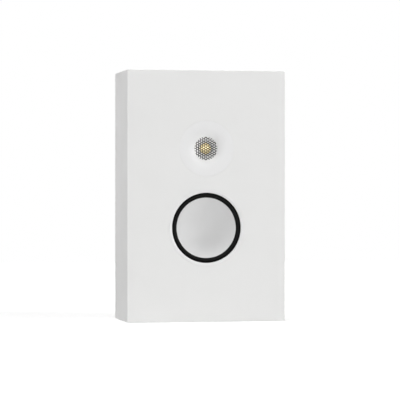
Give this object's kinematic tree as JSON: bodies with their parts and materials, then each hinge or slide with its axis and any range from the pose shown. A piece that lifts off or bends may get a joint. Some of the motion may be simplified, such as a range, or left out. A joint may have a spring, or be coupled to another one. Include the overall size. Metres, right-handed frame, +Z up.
{
  "type": "on-wall speaker",
  "caption": "Shallow white two-way speaker for hanging on a wall: sealed box, mesh-covered dome tweeter in a waveguide above a cone bass driver, terminals and keyholes in the back.",
  "frame": {"origin": "middle of the bottom of the whole speaker's box", "axes": "+Z up, -Y out of the front, +X to the right as seen from the front"},
  "size_m": [0.243, 0.118, 0.38],
  "materials": {
    "lacquer": "satin white lacquer",
    "rear_lacquer": "satin white lacquer",
    "bare_board": "raw fibreboard",
    "foam": "matt foam",
    "wadding": "loose fibre",
    "black_screw": "black oxide",
    "zinc_steel": "zinc plated",
    "pad_rubber": "matt",
    "trim_white": "satin white",
    "basket_grey": "cast, painted",
    "surround_rubber": "matt",
    "cone_grey": "satin light grey",
    "spider_cloth": "woven",
    "former_film": "film",
    "copper": "enamelled copper",
    "motor_steel": "plated",
    "ferrite": "sintered",
    "tag_board": "pressed board",
    "tag_brass": "plated",
    "mesh_grey": "satin grey",
    "dome_gold": "gold coated",
    "soft_light": "coated cloth",
    "ring_light": "satin",
    "black_plastic": "moulded",
    "board_green": "glass fibre board",
    "capacitor_film": "film",
    "cement": "cement",
    "red_plastic": "moulded",
    "wire_skin": "insulated"
  },
  "bodies": {
    "cabinet": {"front_baffle": "lacquer", "left_side_panel": "lacquer", "right_side_panel": "lacquer", "top_panel": "lacquer", "bottom_panel": "lacquer", "rear_panel": "rear_lacquer", "cross_brace": "bare_board", "rear_panel_gasket": "foam", "bass_gasket": "foam", "waveguide_gasket": "foam", "terminal_cup_gasket": "foam", "wadding_pads": "wadding", "rear_panel_screws": "black_screw", "bass_screws": "black_screw", "waveguide_screws": "black_screw", "tweeter_screws": "black_screw", "terminal_cup_screws": "black_screw", "keyhole_plates": "zinc_steel", "keyhole_screws": "zinc_steel", "crossover_spacers": "zinc_steel", "crossover_screws": "zinc_steel", "wall_pads": "pad_rubber", "bass_trim_ring": "trim_white", "waveguide": "trim_white", "bass_basket": "basket_grey", "bass_surround": "surround_rubber", "bass_spider": "spider_cloth", "bass_choke_winding": "copper", "treble_choke": "copper", "bass_top_plate": "motor_steel", "bass_pole_yoke": "motor_steel", "tweeter_top_plate": "motor_steel", "tweeter_pole_yoke": "motor_steel", "bass_magnet": "ferrite", "tweeter_magnet": "ferrite", "bass_choke_core": "ferrite", "bass_tag_strip": "tag_board", "bass_tags": "tag_brass", "bass_flexible_leads": "tag_brass", "tweeter_tags": "tag_brass", "terminal_studs": "tag_brass", "terminal_nuts": "tag_brass", "tweeter_mesh": "mesh_grey", "tweeter_surround": "soft_light", "tweeter_mount_ring": "ring_light", "tweeter_rear_chamber": "black_plastic", "terminal_cup": "black_plastic", "crossover_board": "board_green", "capacitors": "capacitor_film", "resistors": "cement", "hookup_wires": "wire_skin"},
    "bass_cone": {"bass_cone": "cone_grey", "bass_former": "former_film", "bass_coil": "copper"},
    "tweeter_dome": {"tweeter_dome": "dome_gold", "tweeter_former": "former_film", "tweeter_coil": "copper"},
    "red_cap": {"red_terminal_cap": "red_plastic"},
    "black_cap": {"black_terminal_cap": "black_plastic"}
  },
  "joints": [
    {"name": "bass_cone_travel", "type": "slide", "parent": "cabinet", "child": "bass_cone", "axis": [0, -1, 0], "range_m": [-0.004, 0.004], "stiffness_N_per_m": 1000, "deforming": ["bass_surround", "bass_spider", "bass_flexible_leads"]},
    {"name": "tweeter_dome_travel", "type": "slide", "parent": "cabinet", "child": "tweeter_dome", "axis": [0, -1, 0], "range_m": [-0.0003, 0.0003], "stiffness_N_per_m": 800, "deforming": ["tweeter_surround"]},
    {"name": "red_cap_turn", "type": "hinge", "parent": "cabinet", "child": "red_cap", "pos_m": [0.0095, 0.0335, 0.054], "axis": [0, 1, 0], "range_deg": [0, 1080]},
    {"name": "black_cap_turn", "type": "hinge", "parent": "cabinet", "child": "black_cap", "pos_m": [-0.0095, 0.0335, 0.054], "axis": [0, 1, 0], "range_deg": [0, 1080]}
  ]
}
